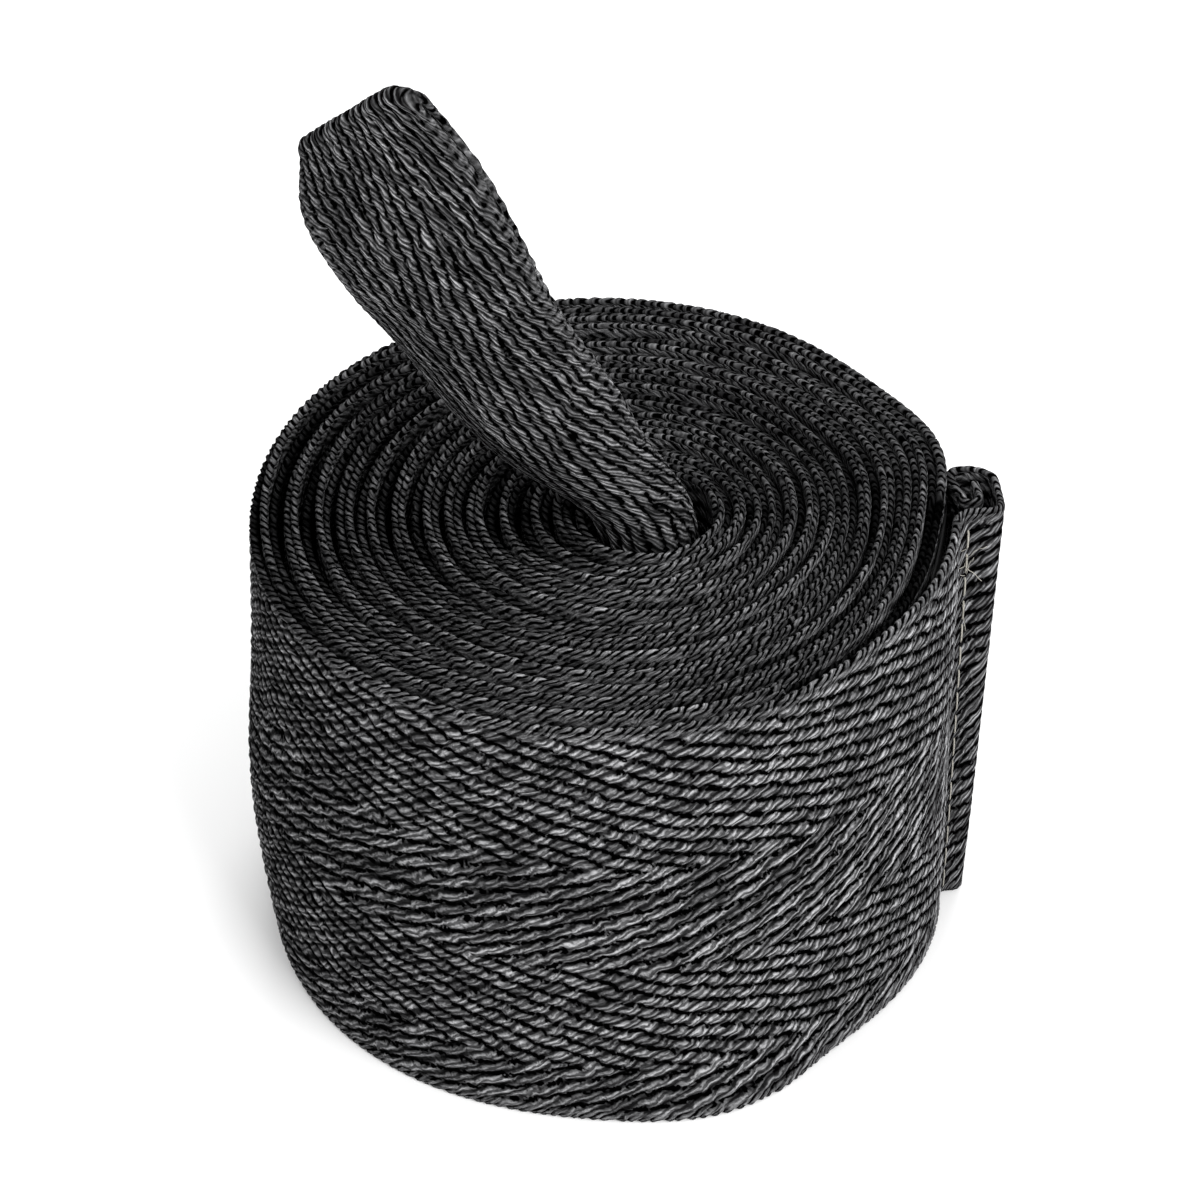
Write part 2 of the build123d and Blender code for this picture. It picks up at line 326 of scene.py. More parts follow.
def woundLength(name, start, end, spacing, rows, relief):
    # One length of the wound band, from one count of half turns to another.
    first, last = lengthAt(start), lengthAt(end)
    s = np.linspace(first, last, int((last - first) / spacing) + 2)
    half = np.clip(np.searchsorted(halfStart, s, side="right") - 1, 0, roll["lastHalf"])
    turned = half + (s - halfStart[half]) / (math.pi * halfRadius[half])
    turned = np.clip(turned, start, end)
    angle, turns = math.pi * turned, turned / 2
    pitch = pitchAt(angle)
    below, here, above = (gather(turns + step, angle) for step in (-1, 0, 1))
    halfOut = np.clip(roll["fill"] * (pitch + above - here), roll["thinnest"], roll["thickest"])
    halfOut = np.where(turns > roll["outerTurn"], roll["outerHalf"], halfOut)
    halfIn = np.clip(roll["fill"] * (pitch + here - below), roll["thinnest"], roll["thickest"])
    lift = liftAt(turns, angle)
    # the turns just under the outermost one have slipped down, and lie in its shade, which is painted into
    # their colour
    sunk = np.clip((turns - 29.5) / 0.15, 0, 1) * (turns < 30.01)
    sunk = sunk + 0.6 * (turns > 28.84) * (turns < 29.01)
    lift = lift - roll["slipped"] * sunk
    # painted shade: turns that stand lower, down between the clumps, are painted darker, and the slipped turns
    # much darker
    high = np.clip(0.7 + 0.9 * lift, 0.12, 1.3) * (1 - 0.85 * sunk)
    place, turn = rows[:, 0][None, :], rows[:, 1][None, :]
    outward = np.cos(turn)
    upward = np.sin(turn)
    edge = np.broadcast_to(edgeWeight(rows, roll["height"]), (len(s), len(rows)))
    v = developed(rows, halfOut, halfIn)
    ws, wv = tangle(*warp(s[:, None] + 0 * v, v, 11), 12)
    if start >= roll["lastHalf"] - 1:
        wv = wv + askew(s)
    bump = relief * (weaveHeight(ws, wv, edge, bandWeave) - 0.5)
    side = np.where(outward > 0, outward * halfOut[:, None], outward * halfIn[:, None])
    radial = halfRadius[half][:, None] + here[:, None] + side + bump * outward
    top = np.clip(place / roll["height"], 0, 1)
    z = place + roll["edgeRound"] * upward + bump * upward + lift[:, None] * top**3
    z = z + np.clip(-lift[:, None] * 0.5, 0, 1) * (1 - top) ** 3
    x = halfCentre[half][:, None] + radial * np.cos(angle)[:, None]
    y = radial * np.sin(angle)[:, None]
    x, y = settle(x, y, z, (radial / 35.0) ** 4)
    points = np.stack([x, y, np.maximum(z, 0.02)], axis=-1)
    # painted sheen: the cloth is painted palest where its floats lie across the light, at the front and back
    # of the roll, darkest at its sides
    paintedSheen = 0.36 + 0.27 * np.abs(np.sin(angle)) ** 1.5 + 0.42 * np.clip(-np.sin(angle), 0, 1)
    # painted light: the outer faces are painted paler towards the front right, where the key light falls, and
    # darker towards the back left
    paintedKeyLight = 0.78 + 0.46 * np.cos(angle + 0.75)
    dim = 1 - 0.35 * edge
    wearAndPaintedLight = np.where(rows[:, 1] > 0, wearAndGapShade(rows, high) * paintedSheen[:, None], paintedKeyLight[:, None] * dim)
    return buildMesh(name, points, np.stack([ws, wv, edge], axis=-1), wearAndPaintedLight)


few = (0.0, 0.012, 0.05, 0.5, 0.95, 0.988, 1.0)  # rows enough for a face that nothing shows
edgeCount = 9
alongStep, faceStep = 0.27, 0.24  # mesh steps along the hidden turns, and on the faces that show
innerRows = sectionRows(roll["height"], faceStep, edgeCount, False, False, few)
outerRows = sectionRows(roll["height"], faceStep, edgeCount, True, False, few)
lengths = {
    "core_turns": ("coreTurns", 0.0, 16.0),
    "inner_turns": ("innerTurns", 16.0, 30.0),
    "middle_turns": ("middleTurns", 30.0, 42.0),
    "outer_turns": ("outerTurns", 42.0, 52.0),
    "last_turns": ("lastTurns", 52.0, 60.0),
}
bandPieces = []
for node, (name, start, end) in lengths.items():
    piece = woundLength(name, start, end, alongStep, innerRows, roll["innerRelief"])
    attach(piece, "roll")
    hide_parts(node)
    bandPieces.append((piece, lengthAt(end) - lengthAt(start)))
splitTurned = 60.0 + roll["splitAngle"] / 180.0
outerRelief = bandWeave["relief"] * 1.6  # stronger, because this face shows
for name, start, end in (("bandBack", 60.0, 61.0), ("bandFront", 61.0, splitTurned)):
    piece = woundLength(name, start, end, faceStep, outerRows, outerRelief)
    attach(piece, "roll")
    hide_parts("last_turns")
    bandPieces.append((piece, lengthAt(end) - lengthAt(start)))
print("stage 2: the wound band is in")

# the closure end, which leaves the roll at the split and ends in a rolled hem
flap = {
    "radius": 40.5,
    "sweep": 49.0,
    "half": 0.4,
    "rise": 80.0,  # how steeply the cloth turns outwards into its hem, and the radii of that S
    "valley": 1.7,
    "ridge": 1.5,
    "hemLength": 7.0,
    "fold": 2.08,  # radius of the far fold
    "tuckStart": 4.4,
    "tuck": 0.95,
    "tuckLength": 1.9,
    "lean": 0.7,  # how far it leans in towards the roll, how much more lower down and at its foot
    "leanLow": 0.2,
    "leanFoot": 0.15,
    "pressed": 0.45,  # how flat the hem is pressed at its foot
    "bulge": 2.48,  # how far the far fold bulges in, until it touches the roll
    "bulgeFrom": 4.6,
    "climb": 0.85,  # how fast the ribs climb where the cloth turns outwards
    "wearAndPaintedLight": 1.1,
    "hemWear": 0.85,
    "settleLength": 16.0,  # from the roll's own shape at the split to the flap's
    "blendLength": 9.0,
    "threadTurn": 60.0,  # how far round the valley the pale thread lies
    "frayCount": 9,
}
split = math.radians(roll["splitAngle"])
splitPoint = np.array(
    [
        halfCentre[61] + halfRadius[61] * math.cos(split),
        halfRadius[61] * math.sin(split),
    ]
)
flapCentre = splitPoint - flap["radius"] * np.array([math.cos(split), math.sin(split)])
flapEnd = split + math.radians(flap["sweep"])
hemOrigin = flapCentre + flap["radius"] * np.array([math.cos(flapEnd), math.sin(flapEnd)])
hemAlong = np.array([-math.sin(flapEnd), math.cos(flapEnd)])
hemIn = np.array([-math.cos(flapEnd), -math.sin(flapEnd)])


def hemPath(t):
    # Middle line of the rolled hem by length t: its local place and outward direction.
    rise = math.radians(flap["rise"])
    valley, ridge, fold, tuck = flap["valley"], flap["ridge"], flap["fold"], flap["tuck"]
    riser = (2 * fold - (valley + ridge) * (1 - math.cos(rise))) / math.sin(rise)
    ridgeEnd = (valley + ridge) * math.sin(rise) + riser * math.cos(rise)
    # each run is its length and how far it turns; turning outwards counts as positive
    runs = [
        (valley * rise, rise),
        (riser, 0.0),
        (ridge * rise, -rise),
        (flap["hemLength"] - ridgeEnd, 0.0),
        (math.pi * fold, -math.pi),
        (flap["hemLength"] - flap["tuckStart"], 0.0),
        (math.pi * tuck, -math.pi),
        (flap["tuckLength"], 0.0),
    ]
    ends = np.concatenate(([0.0], np.cumsum([r[0] for r in runs])))
    turns = np.concatenate(([0.0], np.cumsum([r[1] for r in runs])))
    fine = np.linspace(0, ends[-1], 2001)
    heading = np.interp(fine, ends, turns)
    step = fine[1] - fine[0]
    middle = (heading[1:] + heading[:-1]) / 2
    x = np.concatenate(([0.0], np.cumsum(np.cos(middle)) * step))
    y = np.concatenate(([0.0], np.cumsum(np.sin(middle)) * step))
    turned = np.interp(t, fine, heading)
    # y counts outwards; the outer face looks out where the cloth runs straight on
    return np.interp(t, fine, x), np.interp(t, fine, y), -np.sin(turned), np.cos(turned), ends[-1]


def hemTotal():
    return hemPath(np.zeros(1))[4]


def clothAlong(name, s, middle, out, half, rows, relief, lift, press, wornAndPaintedLight, pull=0.0):
    # A cloth with an upright edge: middle line and outward direction at each station, in plan.
    place, turn = rows[:, 0][None, :], rows[:, 1][None, :]
    outward, upward = np.cos(turn), np.sin(turn)
    edge = np.broadcast_to(edgeWeight(rows, roll["height"]), (len(s), len(rows)))
    v = developed(rows, half, half)
    ws, wv = tangle(*warp(s[:, None] + 0 * v, v, 11), 12)
    wv = wv + askew(s) + pull
    bump = relief * (weaveHeight(ws, wv, edge, bandWeave) - 0.5)
    off = outward * (half[:, None] + bump)
    x = middle[:, 0][:, None] + out[:, 0][:, None] * off
    y = middle[:, 1][:, None] + out[:, 1][:, None] * off
    top = np.clip(place / roll["height"], 0, 1)
    z = place + (roll["edgeRound"] + bump) * upward + lift[:, None] * top**3
    x, y = press(x, y, z)
    points = np.stack([x, y, np.maximum(z, 0.02)], axis=-1)
    wearAndPaintedLight = np.where(rows[:, 1] > 0, wearAndGapShade(rows, wornAndPaintedLight * np.ones(len(s))), wornAndPaintedLight * (1 - 0.35 * edge))
    return buildMesh(name, points, np.stack([ws, wv, edge], axis=-1), wearAndPaintedLight)


def pressFlap(x, y, z):
    # The flap leans in towards the roll lower down, and its hem is pressed flatter there.
    rel = np.stack([x - hemOrigin[0], y - hemOrigin[1]], axis=-1)
    along = rel @ hemAlong
    inside = rel @ hemIn
    low = np.clip(1 - z / roll["height"], 0, 1)
    near = np.clip((along + 14.0) / 14.0, 0, 1) ** 2
    hem = np.clip(along + 1.0, 0, 1)
    lean = flap["lean"] + flap["leanLow"] * low + flap["leanFoot"] * low**6
    pressed = flap["pressed"] * low + 0.06 * np.clip(along - 2.5, 0, None)
    swollen = np.clip((along - flap["bulgeFrom"]) / 4.0, 0, 1)
    swollen = swollen * np.clip(inside / (2 * flap["fold"]) + 1, 0, 1.2)
    shift = -np.minimum(inside, 0) * pressed * hem + lean * near
    shift = shift + flap["bulge"] * swollen * (1 - 0.4 * low)
    return x + shift * hemIn[0], y + shift * hemIn[1]


flapArc = flap["radius"] * math.radians(flap["sweep"])
s0 = lengthAt(splitTurned)
s = np.linspace(0, flapArc, int(flapArc / faceStep) + 2)
around = split + s / flap["radius"]
out = np.stack([np.cos(around), np.sin(around)], axis=-1)
middle = flapCentre + flap["radius"] * out
flapLift = 0.25 * np.sin(s / 9.0) + 0.1
fade = np.clip(s / 10.0, 0, 1)
bothRows = sectionRows(roll["height"], faceStep, edgeCount, True, True, few)
startLift = float(liftAt(np.array([splitTurned / 2]), np.array([math.pi * splitTurned]))[0])
flapLift = startLift * (1 - fade) + flapLift * fade


def pressStart(x, y, z):
    # At the split the flap has the roll's own settled shape, and further along its own.
    rx, ry = settle(x, y, z, 1.0)
    px, py = pressFlap(x, y, z)
    away = np.hypot(x - splitPoint[0], y - splitPoint[1])
    mix = np.clip(away / flap["settleLength"], 0, 1)
    mix = mix * mix * (3 - 2 * mix)
    return rx * (1 - mix) + px * mix, ry * (1 - mix) + py * mix


half = roll["outerHalf"] * (1 - fade) + flap["half"] * fade
closure = clothAlong(
    "closureFlap", s + s0, middle, out, half, bothRows, outerRelief, flapLift, pressStart, flap["wearAndPaintedLight"]
)
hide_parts("closure_flap")
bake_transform(closure)

t = np.linspace(0, hemTotal(), int(hemTotal() / faceStep) + 2)
hx, hy, ox, oy, total = hemPath(t)
middle = hemOrigin + hx[:, None] * hemAlong - hy[:, None] * hemIn
outDir = ox[:, None] * hemAlong - oy[:, None] * hemIn
hemHalf = np.full(len(t), flap["half"])
hemLift = 0.35 + 0.35 * np.sin(t / total * 7.0)
climb = -flap["climb"] * np.clip(t - 0.6, 0, 6.0)[:, None]
hemStart = s0 + flapArc
hemRelief = outerRelief * 0.4  # the hem is pulled smooth
hemWear = flap["hemWear"]
hem = clothAlong(
    "rolledHem", t + hemStart, middle, outDir, hemHalf, bothRows, hemRelief, hemLift, pressFlap, hemWear, climb
)
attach(hem, "flap")
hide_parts("closure_flap")
print("stage 3: the closure end is in")

# hooks, pile and stitches are small bent threads, each a four-sided tube
strips = {
    "base": 3.0,
    "height": 44.0,
    "backing": 0.22,
    "margin": 1.8,
    "gap": 0.05,
    "hookSpan": (-6.3, 5.4),  # along the flap, from where its hem starts
    "hookField": (-4.6, 3.7),
    "hookSeams": (-5.5, 4.6),
    "hookPitch": 1.15,
    "hookThread": 0.055,
    "pileSpan": (-13.0, 11.0),  # degrees round the roll
    "pileSeams": (-11.5, 9.5),
    "pileRadius": 34.0,
    "pileWidth": 14.4,
    "pilePitch": 0.6,
    "pileThread": 0.05,
    "seamThread": 0.11,
    # each hook and each pile loop, as (off its tape, along it)
    "hook": [(-0.03, 0), (0.16, 0), (0.28, 0.05), (0.33, 0.16), (0.26, 0.25), (0.18, 0.26)],
    "pile": [(-0.03, 0), (0.15, 0.03), (0.27, 0.14), (0.29, 0.3), (0.2, 0.44), (0.02, 0.47)],
}


def tufts(name, bases, normals, tangents, profile, radius, press):
    # Threads that rise from their bases: each profile point is (along the normal, along the tangent).
    profile = np.array(profile, float)
    step = np.gradient(profile, axis=0)
    step = step / np.linalg.norm(step, axis=1, keepdims=True)
    side = np.cross(normals, tangents)
    rings = []
    for (a, b), (da, db) in zip(profile, step):
        centre = bases + a * normals + b * tangents
        flat = -db * normals + da * tangents
        rings.append(np.stack([centre + radius * d for d in (side, flat, -side, -flat)], axis=1))
    points = np.stack(rings, axis=1)
    x, y = press(points[..., 0], points[..., 1], points[..., 2])
    points = np.stack([x, y, points[..., 2]], axis=-1)
    count, levels = points.shape[:2]
    index = np.arange(count * levels * 4).reshape(count, levels, 4)
    right = np.roll(index, -1, axis=2)
    quads = np.stack([index[:, :-1], right[:, :-1], right[:, 1:], index[:, 1:]], axis=-1).reshape(-1, 4)
    ends = np.concatenate([index[:, 0, ::-1], index[:, -1]])
    mesh = bpy.data.meshes.new(name)
    mesh.from_pydata((points.reshape(-1, 3) * toMetres).tolist(), [], np.concatenate([quads, ends]).tolist())
    mesh.polygons.foreach_set("use_smooth", np.ones(len(mesh.polygons), bool))
    piece = bpy.data.objects.new(name, mesh)
    bpy.context.scene.collection.objects.link(piece)
    return piece


def backing(name, middle, out, press):
    # A flat woven tape, upright, its middle line and outward direction given in plan.
    z = strips["base"] + np.linspace(0, strips["height"], 89)
    half = strips["backing"] / 2
    face = middle[:, None, :] + out[:, None, :] * half
    back = middle[:, None, :] - out[:, None, :] * half
    ring = np.concatenate([np.repeat(face, len(z), axis=1), np.repeat(back, len(z), axis=1)], axis=1)
    height = np.broadcast_to(np.concatenate([z, z[::-1]]), ring.shape[:2])
    x, y = press(ring[..., 0], ring[..., 1], height)
    return buildMesh(name, np.stack([x, y, height], axis=-1))


def flapPlan(along, inside):
    # Plan of the flap's inner side by distance from the hem's start, and how far inside it is.
    arc = flapEnd + np.minimum(along, 0) / flap["radius"]
    out = np.stack([np.cos(arc), np.sin(arc)], axis=-1)
    place = flapCentre + (flap["radius"] - inside) * out + np.maximum(along, 0)[:, None] * hemAlong
    return place, out


def rollPlan(angle, outside):
    # Plan of the roll's face under the flap, by angle round it, and how far outside it is.
    half = np.where(angle < 0, roll["lastHalf"] - 2, roll["lastHalf"] - 1)
    out = np.stack([np.cos(angle), np.sin(angle)], axis=-1)
    centre = np.stack([halfCentre[half], np.zeros(len(angle))], axis=-1)
    return centre + (halfRadius[half] + outside)[:, None] * out, out


def settled(x, y, z):
    return settle(x, y, z, 0.95)


def field(plan, low, high, pitch, offset, facing, seed):
    # Bases, normals and tangents of a field of hooks or loops over a strip, a little uneven.
    rng = np.random.default_rng(seed)
    z0 = strips["base"] + strips["margin"]
    tall = strips["height"] - 2 * strips["margin"]
    across, up = np.meshgrid(np.arange(low, high, pitch), np.arange(0, tall, pitch * 0.9))
    across, up = across.ravel(), up.ravel()
    across = across + rng.uniform(-0.12, 0.12, len(across)) * pitch
    place, out = plan(across, offset)
    bases = np.column_stack([place, z0 + up])
    normals = np.column_stack([facing * out, np.zeros(len(out))])
    tangents = np.column_stack([-out[:, 1], out[:, 0], np.zeros(len(out))])
    lean = rng.uniform(-0.5, 0.5, len(out))[:, None]
    return bases, normals, unit(tangents + lean * np.array([0, 0, 1.0]))


def unit(rows):
    return rows / np.linalg.norm(rows, axis=-1, keepdims=True)


inside = flap["half"] + strips["gap"]  # where the hook tape starts, inwards of the flap's middle line
hookFace = inside + strips["backing"]
place, out = flapPlan(np.linspace(*strips["hookSpan"], 30), inside + strips["backing"] / 2)
hookBacking = backing("hookBacking", place, out, pressFlap)
bases, normals, tangents = field(flapPlan, *strips["hookField"], strips["hookPitch"], hookFace, -1.0, 21)
hooks = tufts("hooks", bases, normals, tangents, strips["hook"], strips["hookThread"], pressFlap)

outside = roll["outerHalf"] + strips["gap"]
pileFace = outside + strips["backing"]
pileAngle = np.radians(np.linspace(*strips["pileSpan"], 30))
place, out = rollPlan(pileAngle, np.full(30, outside + strips["backing"] / 2))
pileBacking = backing("pileBacking", place, out, settled)


def pilePlan(across, offset):
    return rollPlan(across / strips["pileRadius"], np.full(len(across), offset))


low, high = (math.radians(a) * strips["pileRadius"] for a in strips["pileSpan"])
bases, normals, tangents = field(pilePlan, low + 1.7, high - 1.7, strips["pilePitch"], pileFace, 1.0, 22)
pile = tufts("pile", bases, normals, tangents, strips["pile"], strips["pileThread"], settled)


def column(place, out, low, high, facing):
    # Bases and directions of one upright column of stitches.
    z = np.arange(low + 0.4, high - 2.6, 3.0)
    bases = np.column_stack([np.repeat(place, len(z), axis=0), z])
    normals = np.column_stack([np.repeat(facing * out, len(z), axis=0), np.zeros(len(z))])
    tangents = np.repeat([[0, 0, 1.0]], len(z), axis=0)
    return bases, normals, tangents


def stitchShape(thread):
    over = [(thread, 0.3), (thread * 1.2, 1.1), (thread, 1.9)]
    return [(-0.2, 0), (0.0, 0.02), *over, (0.0, 2.18), (-0.2, 2.2)]


def stitchColumns(name, columns, thread, press):
    bases, normals, tangents = (np.concatenate(c) for c in zip(*columns))
    return tufts(name, bases, normals, tangents, stitchShape(thread), thread, press)


stripLow, stripHigh = strips["base"], strips["base"] + strips["height"]
columns = []
for along in strips["hookSeams"]:
    place, out = flapPlan(np.array([along]), hookFace)
    columns.append(column(place, out, stripLow, stripHigh, -1.0))
hookStitches = stitchColumns("hookStitches", columns, strips["seamThread"], pressFlap)
columns = []
for angle in strips["pileSeams"]:
    place, out = rollPlan(np.radians([angle]), np.array([pileFace]))
    columns.append(column(place, out, stripLow, stripHigh, 1.0))
pileStitches = stitchColumns("pileStitches", columns, strips["seamThread"], settled)

# the hem's pale thread lies in its valley, and its cut ends have frayed
valleyTurn = math.radians(flap["threadTurn"])
rng = np.random.default_rng(31)
valleyAlong = flap["valley"] * math.sin(valleyTurn)
valleyOut = flap["valley"] * (1 - math.cos(valleyTurn))
facing = -math.sin(valleyTurn) * hemAlong - math.cos(valleyTurn) * hemIn
place = hemOrigin + valleyAlong * hemAlong - valleyOut * hemIn + (flap["half"] + 0.05) * facing
columns = [column(place[None], facing[None], 0.6, 49.6, 1.0)]
hemThread = stitchColumns("hemThread", columns, 0.12, pressFlap)
frayed = []
for _ in range(flap["frayCount"]):
    z = 49.5 - abs(rng.normal(0, 1)) * 9.0
    spot = place + rng.normal(0, 0.5) * hemAlong
    frayed.append([*spot, z])
bases = np.array(frayed)
normals = np.repeat(facing[None], flap["frayCount"], axis=0)
normals = unit(np.column_stack([normals, rng.normal(0, 0.25, flap["frayCount"])]))
tangents = unit(np.cross(normals, rng.normal(0, 1, (flap["frayCount"], 3))))
fibreShape = [(-0.2, 0), (0.15, 0.2), (0.22, 0.7), (0.1, 1.3), (0.2, 1.9), (0.5, 2.3), (0.6, 2.8)]
fray = tufts("hemFray", bases, normals, tangents, fibreShape, 0.04, pressFlap)

# bar tacks hold the tape's tails in the core: each is a row of short stitches
bars = {
    "middle": (1.45, 0.3),
    "reach": 5.9,
    "angles": (8.0, 18.0, 28.0),
    "lows": (17.6, 31.6),
    "stitches": 7,
    "pitch": 1.2,
    "thread": 0.16,
    "stitch": [(-0.25, 0), (0.1, 0.05), (0.16, 0.3), (0.16, 0.8), (0.1, 1.05), (-0.25, 1.1)],
}


def unpressed(x, y, z):
    return x, y


bases, normals = [], []
for angle in np.radians(bars["angles"]):
    towards = np.array([math.cos(angle), math.sin(angle), 0.0])
    for low in bars["lows"]:
        for k in range(bars["stitches"]):
            bases.append([*bars["middle"], low + bars["pitch"] * k] + bars["reach"] * towards)
            normals.append(towards)
tangents = np.repeat([[0, 0, 1.0]], len(bases), axis=0)
bases, normals = np.array(bases), np.array(normals)
tacks = tufts("loopTacks", bases, normals, tangents, bars["stitch"], bars["thread"], unpressed)
for piece, node in (
    (hookBacking, "hook_strip"),
    (hooks, "hook_strip"),
    (hookStitches, "hook_stitches"),
    (hemThread, "hem_stitches"),
    (fray, "hem_stitches"),
):
    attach(piece, "flap")
    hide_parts(node)
for piece, node in (
    (pileBacking, "pile_strip"),
    (pile, "pile_strip"),
    (pileStitches, "pile_stitches"),
    (tacks, "loop_tacks"),
):
    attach(piece, "roll")
    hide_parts(node)
print("stage 4: strips and stitches are in")

# the thumb loop: a tape curled in the core, that opens flat as it leans out, folded double
loop = {
    "width": 20.0,
    "half": 0.5,
    "plyOut": 0.66,  # from the middle of the two plies to each ply's own middle
    "cornerRight": 2.4,
    "cornerLeft": 0.7,
    "scallop": 0.09,
    "edgeShare": 0.45,
    "wearAndPaintedLight": 0.76,
    # its run up out of the core: place, direction across it, direction along it, radius of its curl
    "run": [
        ((1.45, -4.1, 14.0), (1.0, 0.0, 0.0), (0.0, 0.0, 1.0), 4.4),
        ((1.2, -4.1, 34.0), (1.0, 0.0, 0.0), (0.0, 0.0, 1.0), 4.3),
        ((0.8, -4.1, 50.6), (1.0, 0.0, 0.0), (0.0, 0.0, 1.0), 4.05),
        ((-6.4, -3.66, 58.0), (0.998, 0.003, 0.066), (-0.066, 0.098, 0.993), 6.5),
        ((-14.71, -1.92, 70.0), (0.952, -0.26, 0.158), (-0.181, -0.068, 0.981), 14.0),
        ((-20.3, -3.26, 84.0), (0.97, -0.19, 0.15), (-0.144, 0.036, 0.989), 60.0),
        ((-26.1, 0.8, 95.9), (0.545, -0.48, 0.687), (-0.552, 0.44, 0.708), 300.0),
    ],
    "blendLow": (0.00145, -0.0038, 0.047),  # it bends between these, in metres
    "blendHigh": (0.0005, -0.0038, 0.056),
}


def smoothRun(knots, values, at):
    # Values at places along the run, on a smooth curve through the knots.
    slopes = np.gradient(values, knots, axis=0)
    i = np.clip(np.searchsorted(knots, at, side="right") - 1, 0, len(knots) - 2)
    h = (knots[i + 1] - knots[i])[:, None]
    u = ((at - knots[i])[:, None]) / h
    a, b = values[i], values[i + 1]
    ma, mb = slopes[i] * h, slopes[i + 1] * h
    return (
        (2 * u**3 - 3 * u**2 + 1) * a
        + (u**3 - 2 * u**2 + u) * ma
        + (-2 * u**3 + 3 * u**2) * b
        + (u**3 - u**2) * mb
    )


origins, widths, runs = (np.array([k[i] for k in loop["run"]]) for i in range(3))
bends = np.array([[1 / k[3]] for k in loop["run"]])
knots = np.concatenate(([0.0], np.cumsum(np.linalg.norm(np.diff(origins, axis=0), axis=1))))
runLength = knots[-1]
tapeStep = 0.3
up = np.linspace(0, runLength, int(runLength / tapeStep) + 1)
bendRows = np.linspace(0, math.pi, 9)[1:-1]
at = np.concatenate([up, np.full(len(bendRows), runLength), up[::-1]])
beta = np.concatenate([np.zeros(len(up)), bendRows, np.full(len(up), math.pi)])
roundFold = loop["plyOut"] * bendRows
alongTape = np.concatenate([up, runLength + roundFold, runLength + loop["plyOut"] * math.pi + up])
origin = smoothRun(knots, origins, at)
width = unit(smoothRun(knots, widths, at))
run = smoothRun(knots, runs, at)
run = unit(run - width * (run * width).sum(axis=-1, keepdims=True))
inward = np.cross(run, width)
bend = np.maximum(smoothRun(knots, bends, at)[:, 0], 1e-4)
tapeRows = sectionRows(loop["width"], tapeStep * 0.9, 7, True, True, few)
place, turn = tapeRows[:, 0][None, :], tapeRows[:, 1][None, :]
outward, sideways = np.cos(turn), np.sin(turn)
edge = loop["edgeShare"] * np.broadcast_to(edgeWeight(tapeRows, loop["width"]), (len(at), len(tapeRows)))
tapeHalf = np.full(len(at), loop["half"])
v = developed(tapeRows, tapeHalf, tapeHalf)
ws, wv = tangle(*warp(alongTape[:, None] + 0 * v, v, 17), 18)
bump = tapeWeave["relief"] * 1.5 * (weaveHeight(ws, wv, edge, tapeWeave) - 0.5)
across = place - loop["width"] / 2
scallop = loop["scallop"] * np.sin(2 * math.pi * alongTape / 2.1)[:, None] * np.abs(sideways)
across = across + (roll["edgeRound"] + 0.5 * bump + scallop) * sideways
phi = across * bend[:, None]
base = (
    origin[:, None, :]
    + width[:, None, :] * (np.sin(phi) / bend[:, None])[..., None]
    + inward[:, None, :] * ((1 - np.cos(phi)) / bend[:, None])[..., None]
)
normal = width[:, None, :] * np.sin(phi)[..., None] - inward[:, None, :] * np.cos(phi)[..., None]
turnedOut = normal * np.cos(beta)[:, None, None] + run[:, None, :] * np.sin(beta)[:, None, None]
near = np.clip((at - runLength + 9.0) / 9.0, 0, 1)[:, None]
corner = loop["cornerRight"] * np.clip((across - 6.0) / 4.0, 0, 1) ** 2
corner = corner + loop["cornerLeft"] * np.clip((-across - 8.6) / 1.4, 0, 1) ** 2
reach = loop["plyOut"] + (loop["half"] + bump) * outward
points = base + turnedOut * reach[..., None] - run[:, None, :] * (corner * near**2)[..., None]
wearAndPaintedLight = loop["wearAndPaintedLight"] - 0.2 * edge
thumbLoop = buildMesh("thumbLoop", points, np.stack([ws, wv, edge], axis=-1), wearAndPaintedLight)
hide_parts("thumb_loop", "loop_tails")
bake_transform(thumbLoop)
print("stage 5: the thumb loop is in")


# Colours are sRGB hex values
def linear(hexColour):
    channels = [int(hexColour[i : i + 2], 16) / 255 for i in (1, 3, 5)]
    return [c / 12.92 if c <= 0.04045 else ((c + 0.055) / 1.055) ** 2.4 for c in channels] + [1.0]


# adds one node with its settings: inputs are sources or values, in the sockets' order or by name
def addNode(tree, kind, inputs=(), output=0, **settings):
    node = tree.nodes.new("ShaderNode" + kind)
    for key, value in settings.items():
        setattr(node, key, value)
    for key, value in inputs.items() if isinstance(inputs, dict) else enumerate(inputs):
        if isinstance(value, bpy.types.NodeSocket):
            tree.links.new(value, node.inputs[key])
        else:
            node.inputs[key].default_value = value
    return node.outputs[output] if len(node.outputs) else node


def newMaterial(name):
    material = bpy.data.materials.new(name)
    material.use_nodes = True
    tree = material.node_tree
    tree.nodes.clear()
    return material, tree
